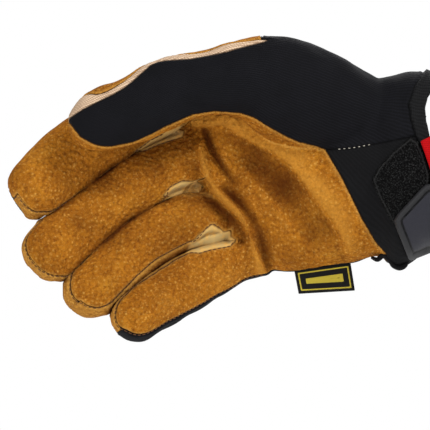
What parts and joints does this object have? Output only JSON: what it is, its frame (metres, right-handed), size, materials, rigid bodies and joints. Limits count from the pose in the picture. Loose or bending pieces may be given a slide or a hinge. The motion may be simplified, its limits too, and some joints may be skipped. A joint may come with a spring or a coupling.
{
  "type": "leather work glove",
  "caption": "Right-hand leather work glove, worn and relaxed, with a suede palm, dark fabric back and a hook-and-loop wrist closure.",
  "frame": {"origin": "centre of the wrist opening, where the hand goes in", "axes": "+X from the fingertips to the wrist, -Y out of the palm, +Z to the thumb side"},
  "size_m": [0.1986, 0.0658, 0.1375],
  "materials": {
    "suede": "tan suede with a short nap and pale specks",
    "cream_leather": "thin cream leather",
    "pale_strip": "pale woven strip",
    "black_fabric": "black stretch fabric with a fine rib",
    "black_loop": "matt black loop pile",
    "dark_rubber": "satin moulded rubber",
    "red_fabric": "red woven tape",
    "woven_label": "black woven label with a gold line"
  },
  "bodies": {
    "root": {"palm_leather": "suede", "hand_back_panel": "black_fabric", "gusset_index_middle": "cream_leather", "gusset_middle_ring": "cream_leather", "gusset_ring_little": "cream_leather", "thumb_back_panel": "black_fabric", "thumb_gusset": "pale_strip", "wrist_panel": "black_fabric", "cuff_binding": "black_fabric", "loop_patch": "black_loop", "closure_tab": "dark_rubber", "pull_tab": "red_fabric", "side_label": "woven_label"}
  },
  "joints": []
}
